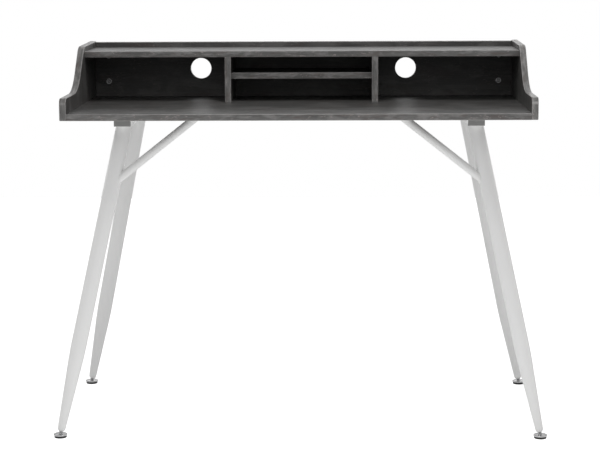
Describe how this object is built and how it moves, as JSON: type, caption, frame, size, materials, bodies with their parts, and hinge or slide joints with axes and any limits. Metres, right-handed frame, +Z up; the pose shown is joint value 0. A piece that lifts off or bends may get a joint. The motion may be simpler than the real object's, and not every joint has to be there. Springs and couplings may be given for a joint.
{
  "type": "desk with hutch",
  "caption": "Writing desk with a low open hutch, S-curved side panels, round cable holes, splayed tapered tube legs, front braces and screw-in levelling feet.",
  "frame": {"origin": "on the floor under the middle of the desk, centre of the bounding box's bottom", "axes": "+X to the sitter's right, +Y from the front edge to the back, +Z up"},
  "size_m": [1.186, 0.592, 0.9219],
  "materials": {
    "laminate": "charcoal wood-grain laminate, satin",
    "white_steel": "white satin paint",
    "grey_plastic": "moulded, matte",
    "bright_chrome": "bright plated",
    "black_pad": "moulded, matte",
    "zinc_steel": "zinc plated",
    "dowel_wood": "bare beech"
  },
  "bodies": {
    "desk": {"worktop": "laminate", "side_panel_left": "laminate", "side_panel_right": "laminate", "back_panel": "laminate", "top_shelf": "laminate", "divider_left": "laminate", "divider_right": "laminate", "middle_shelf": "laminate", "rail_left": "white_steel", "rail_right": "white_steel", "brace_left": "white_steel", "brace_right": "white_steel", "brace_plate_left": "white_steel", "brace_plate_right": "white_steel", "cam_locks": "zinc_steel", "cam_bolts": "zinc_steel", "dowels": "dowel_wood", "rail_screws": "zinc_steel", "brace_screws": "zinc_steel", "rail_cap_front_left": "grey_plastic", "leg_front_left": "white_steel", "leg_bush_front_left": "zinc_steel", "rail_cap_rear_left": "grey_plastic", "leg_rear_left": "white_steel", "leg_bush_rear_left": "zinc_steel", "rail_cap_front_right": "grey_plastic", "leg_front_right": "white_steel", "leg_bush_front_right": "zinc_steel", "rail_cap_rear_right": "grey_plastic", "leg_rear_right": "white_steel", "leg_bush_rear_right": "zinc_steel"},
    "foot_front_left": {"glide_disc_front_left": "bright_chrome", "glide_pad_front_left": "black_pad"},
    "stem_front_left": {"glide_stem_front_left": "zinc_steel"},
    "foot_rear_left": {"glide_disc_rear_left": "bright_chrome", "glide_pad_rear_left": "black_pad"},
    "stem_rear_left": {"glide_stem_rear_left": "zinc_steel"},
    "foot_front_right": {"glide_disc_front_right": "bright_chrome", "glide_pad_front_right": "black_pad"},
    "stem_front_right": {"glide_stem_front_right": "zinc_steel"},
    "foot_rear_right": {"glide_disc_rear_right": "bright_chrome", "glide_pad_rear_right": "black_pad"},
    "stem_rear_right": {"glide_stem_rear_right": "zinc_steel"}
  },
  "joints": [
    {"name": "level_front_left", "type": "slide", "parent": "desk", "child": "foot_front_left", "axis": [-0.2041, -0.1501, -0.9674], "range_m": [0, 0.01]},
    {"name": "turn_front_left", "type": "hinge", "parent": "foot_front_left", "child": "stem_front_left", "pos_m": [-0.576, -0.279, 0.0084], "axis": [-0.2041, -0.1501, -0.9674], "range_deg": [0, 2880]},
    {"name": "level_rear_left", "type": "slide", "parent": "desk", "child": "foot_rear_left", "axis": [-0.2041, 0.1501, -0.9674], "range_m": [0, 0.01]},
    {"name": "turn_rear_left", "type": "hinge", "parent": "foot_rear_left", "child": "stem_rear_left", "pos_m": [-0.576, 0.279, 0.0084], "axis": [-0.2041, 0.1501, -0.9674], "range_deg": [0, 2880]},
    {"name": "level_front_right", "type": "slide", "parent": "desk", "child": "foot_front_right", "axis": [0.2041, -0.1501, -0.9674], "range_m": [0, 0.01]},
    {"name": "turn_front_right", "type": "hinge", "parent": "foot_front_right", "child": "stem_front_right", "pos_m": [0.576, -0.279, 0.0084], "axis": [0.2041, -0.1501, -0.9674], "range_deg": [0, 2880]},
    {"name": "level_rear_right", "type": "slide", "parent": "desk", "child": "foot_rear_right", "axis": [0.2041, 0.1501, -0.9674], "range_m": [0, 0.01]},
    {"name": "turn_rear_right", "type": "hinge", "parent": "foot_rear_right", "child": "stem_rear_right", "pos_m": [0.576, 0.279, 0.0084], "axis": [0.2041, 0.1501, -0.9674], "range_deg": [0, 2880]}
  ],
  "couplings": [
    {"joint": "turn_front_left", "follows": "level_front_left", "rad_per_m": 5026.5},
    {"joint": "turn_rear_left", "follows": "level_rear_left", "rad_per_m": 5026.5},
    {"joint": "turn_front_right", "follows": "level_front_right", "rad_per_m": 5026.5},
    {"joint": "turn_rear_right", "follows": "level_rear_right", "rad_per_m": 5026.5}
  ]
}
